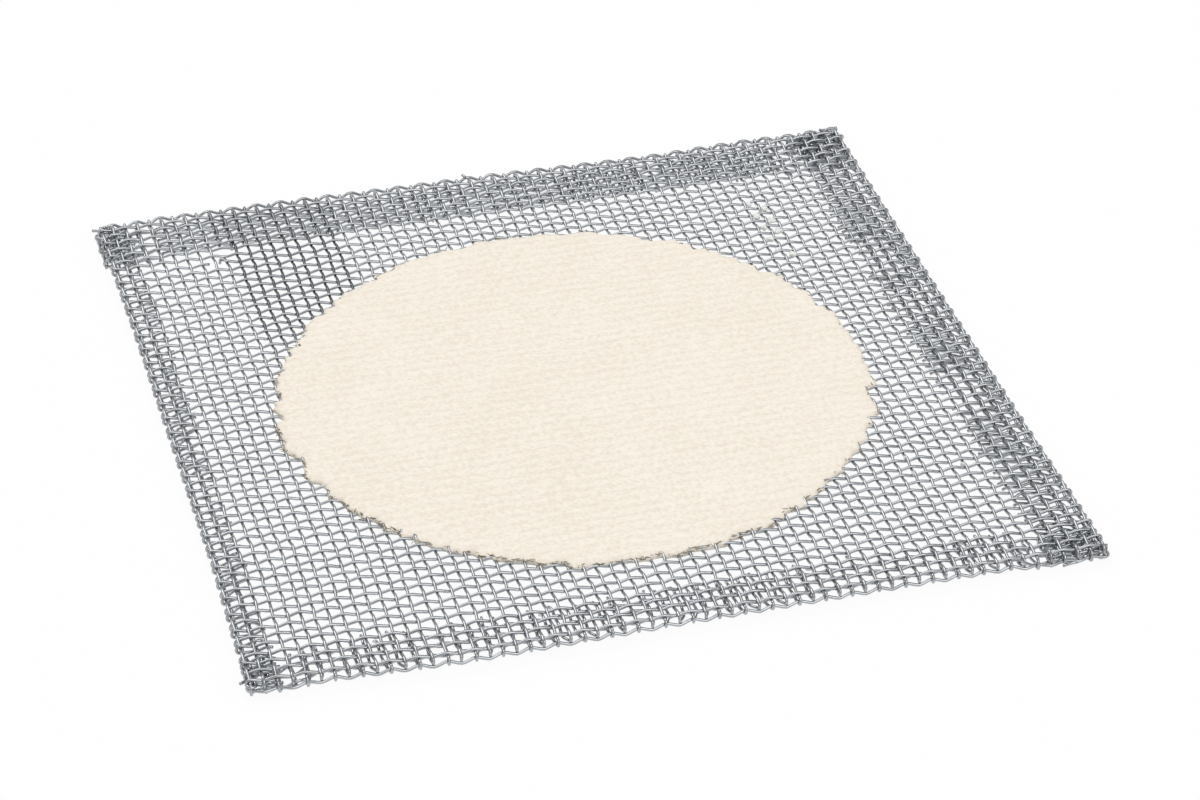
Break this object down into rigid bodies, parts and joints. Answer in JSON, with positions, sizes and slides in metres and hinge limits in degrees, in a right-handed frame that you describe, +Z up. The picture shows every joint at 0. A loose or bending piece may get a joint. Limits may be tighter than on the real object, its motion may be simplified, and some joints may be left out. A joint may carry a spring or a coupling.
{
  "type": "wire gauze",
  "caption": "Square of woven wire cloth with folded edges and a round ceramic centre, laid on a tripod to spread a burner's heat under a vessel.",
  "frame": {"origin": "middle of the resting plane under the four corners", "axes": "+X to the right, +Y to the back, +Z up. The narrowest hem is on the left, the widest at the back."},
  "size_m": [0.16, 0.16, 0.0043],
  "materials": {
    "wire_cloth": "drawn steel wire, bright and slightly blue-grey, plain-woven and folded into hems",
    "ceramic_centre": "unglazed cream-white fibre paste, matt and faintly fibrous, with a ragged edge"
  },
  "bodies": {
    "root": {"wire_cloth": "wire_cloth", "ceramic_centre": "ceramic_centre"}
  },
  "joints": []
}
